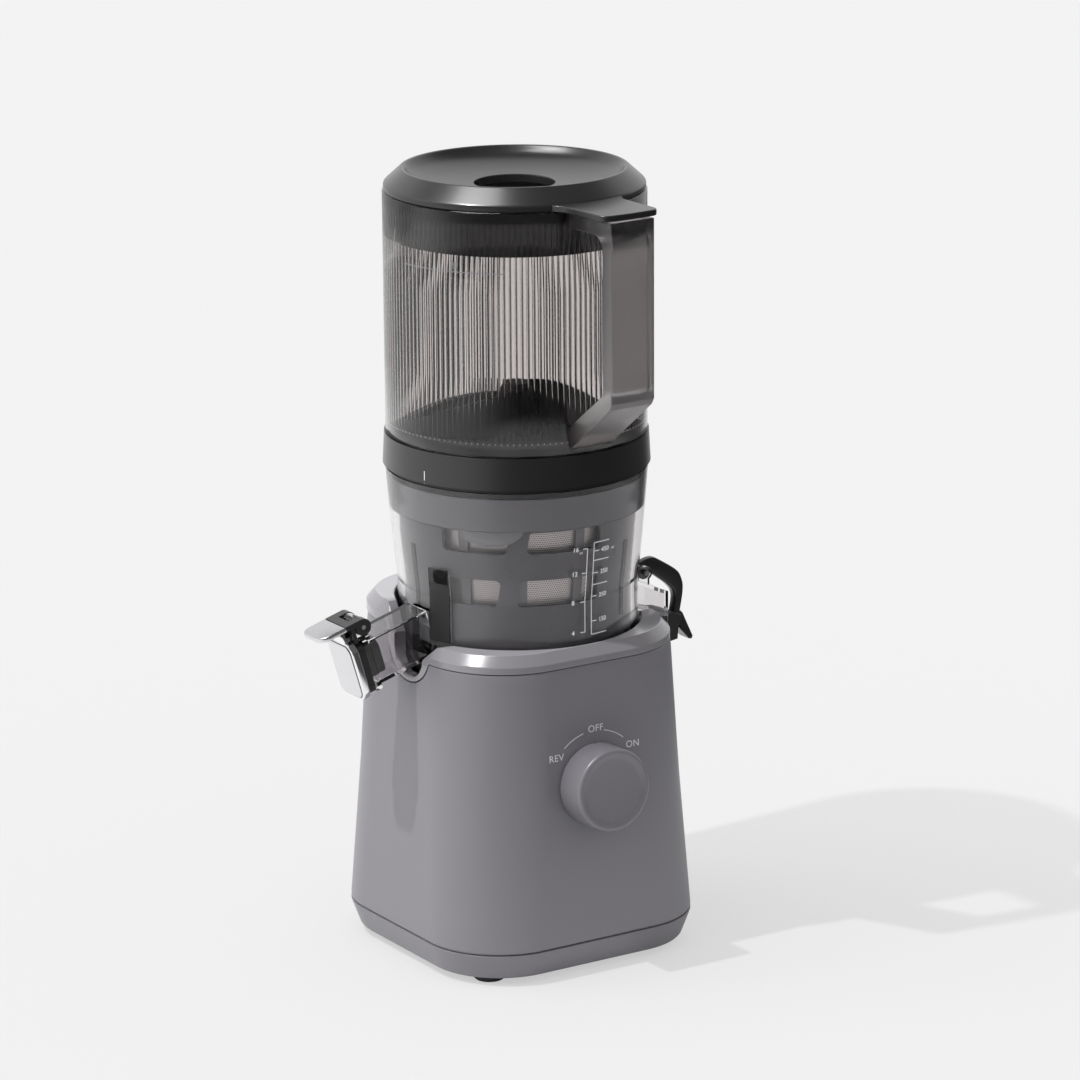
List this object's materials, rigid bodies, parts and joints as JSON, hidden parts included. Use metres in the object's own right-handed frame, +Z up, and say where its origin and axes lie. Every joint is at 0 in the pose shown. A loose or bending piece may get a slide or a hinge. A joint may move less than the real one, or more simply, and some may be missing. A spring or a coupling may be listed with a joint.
{
  "type": "cold press juicer",
  "caption": "Slow juicer with a square-based motor body, front knob, clear bowl with capped spout and pulp gate, and a tall fluted hopper with handle and lid.",
  "frame": {"origin": "centre of the footprint on the worktop, on the auger's axis", "axes": "+Z up; -Y is the front with the knob and the handle; the juice spout points to -X and the pulp outlet to +X"},
  "size_m": [0.254, 0.1992, 0.45],
  "materials": {
    "body_grey": "fine matte, slate grey",
    "cover_grey": "satin, slate grey",
    "black_plastic": "satin black",
    "rubber": "matte black",
    "silicone": "soft matte black",
    "steel": "stainless",
    "iron": "laminated",
    "aluminium": "die cast",
    "bronze": "sintered",
    "nylon": "natural nylon",
    "board": "solder mask",
    "clear_plastic": "clear",
    "smoke_plastic": "clear, smoke grey",
    "inner_grey": "satin, dark grey",
    "chrome": "satin chrome with a bright rim"
  },
  "bodies": {
    "base": {"plinth": "body_grey", "housing": "body_grey", "top_cover": "cover_grey", "well_deck": "black_plastic", "feet": "rubber", "plinth_screws": "steel", "motor_mounts": "rubber", "motor_stator": "iron", "gearbox_case": "aluminium", "gearbox_lid": "aluminium", "gearbox_screws": "steel", "idler_pin": "steel", "output_bush": "bronze", "control_board": "board", "rotary_switch": "black_plastic", "cord_gland": "black_plastic", "bowl_sensor": "black_plastic"},
    "knob": {"knob": "body_grey", "knob_spindle": "steel"},
    "motor_rotor": {"motor_shaft": "steel", "motor_rotor": "iron", "cooling_fan": "nylon", "motor_pinion": "steel"},
    "reduction_gear": {"reduction_gear": "nylon"},
    "drive": {"drive_shaft": "steel", "output_gear": "steel"},
    "bowl": {"bowl": "clear_plastic", "bowl_seal": "silicone", "spout_seal": "silicone", "cap_pin": "steel", "gate_pin": "steel", "wiper_idler_pin": "steel", "strainer_frame": "inner_grey", "strainer_mesh": "steel"},
    "wiper": {"wiper_cage": "inner_grey", "wiper_blades": "silicone"},
    "wiper_idler": {"wiper_idler": "nylon"},
    "auger": {"auger": "inner_grey", "auger_socket": "steel"},
    "juice_cap": {"cap_plate": "chrome", "cap_lever": "black_plastic", "cap_plug": "silicone"},
    "pulp_gate": {"gate_lever": "black_plastic", "gate_stopper": "silicone"},
    "hopper": {"hopper": "smoke_plastic", "hopper_base": "black_plastic", "hopper_gasket": "silicone", "cutter_bush": "nylon"},
    "cutter": {"cutter": "inner_grey"},
    "lid": {"lid": "black_plastic", "lid_skirt": "black_plastic"}
  },
  "joints": [
    {"name": "knob_turn", "type": "hinge", "parent": "base", "child": "knob", "pos_m": [0, -0.07908, 0.1107], "axis": [0, -0.9986, 0.0537], "range_deg": [-52, 52]},
    {"name": "drive_spin", "type": "hinge", "parent": "base", "child": "drive", "pos_m": [0, 0, 0.126], "axis": [0, 0, 1], "continuous": true},
    {"name": "reduction_spin", "type": "hinge", "parent": "base", "child": "reduction_gear", "pos_m": [0.0297, 0.0297, 0.12], "axis": [0, 0, 1], "continuous": true},
    {"name": "motor_spin", "type": "hinge", "parent": "base", "child": "motor_rotor", "pos_m": [0.00848, 0.00848, 0.06], "axis": [0, 0, 1], "continuous": true},
    {"name": "bowl_lift", "type": "slide", "parent": "base", "child": "bowl", "axis": [0, 0, 1], "range_m": [0, 0.06]},
    {"name": "auger_spin", "type": "hinge", "parent": "bowl", "child": "auger", "pos_m": [0, 0, 0.2], "axis": [0, 0, 1], "continuous": true},
    {"name": "wiper_idler_spin", "type": "hinge", "parent": "bowl", "child": "wiper_idler", "pos_m": [0, 0.039, 0.187], "axis": [0, 0, 1], "continuous": true},
    {"name": "wiper_spin", "type": "hinge", "parent": "bowl", "child": "wiper", "pos_m": [0, 0, 0.2], "axis": [0, 0, 1], "continuous": true},
    {"name": "juice_cap_hinge", "type": "hinge", "parent": "bowl", "child": "juice_cap", "pos_m": [-0.11136, -0.0047, 0.20447], "axis": [0, 1, 0], "range_deg": [0, 100]},
    {"name": "pulp_gate_hinge", "type": "hinge", "parent": "bowl", "child": "pulp_gate", "pos_m": [0.08, -0.0047, 0.205], "axis": [0, -1, 0], "range_deg": [0, 60]},
    {"name": "hopper_lift", "type": "slide", "parent": "bowl", "child": "hopper", "axis": [0, 0, 1], "range_m": [0, 0.06]},
    {"name": "cutter_spin", "type": "hinge", "parent": "hopper", "child": "cutter", "pos_m": [0, 0, 0.31], "axis": [0, 0, 1], "continuous": true},
    {"name": "lid_lift", "type": "slide", "parent": "hopper", "child": "lid", "axis": [0, 0, 1], "range_m": [0, 0.06]}
  ],
  "couplings": [
    {"joint": "reduction_spin", "follows": "drive_spin", "ratio": -3},
    {"joint": "motor_spin", "follows": "drive_spin", "ratio": 12},
    {"joint": "auger_spin", "follows": "drive_spin", "ratio": 1},
    {"joint": "wiper_idler_spin", "follows": "drive_spin", "ratio": -1.5},
    {"joint": "wiper_spin", "follows": "drive_spin", "ratio": -0.42857},
    {"joint": "cutter_spin", "follows": "drive_spin", "ratio": 1}
  ]
}
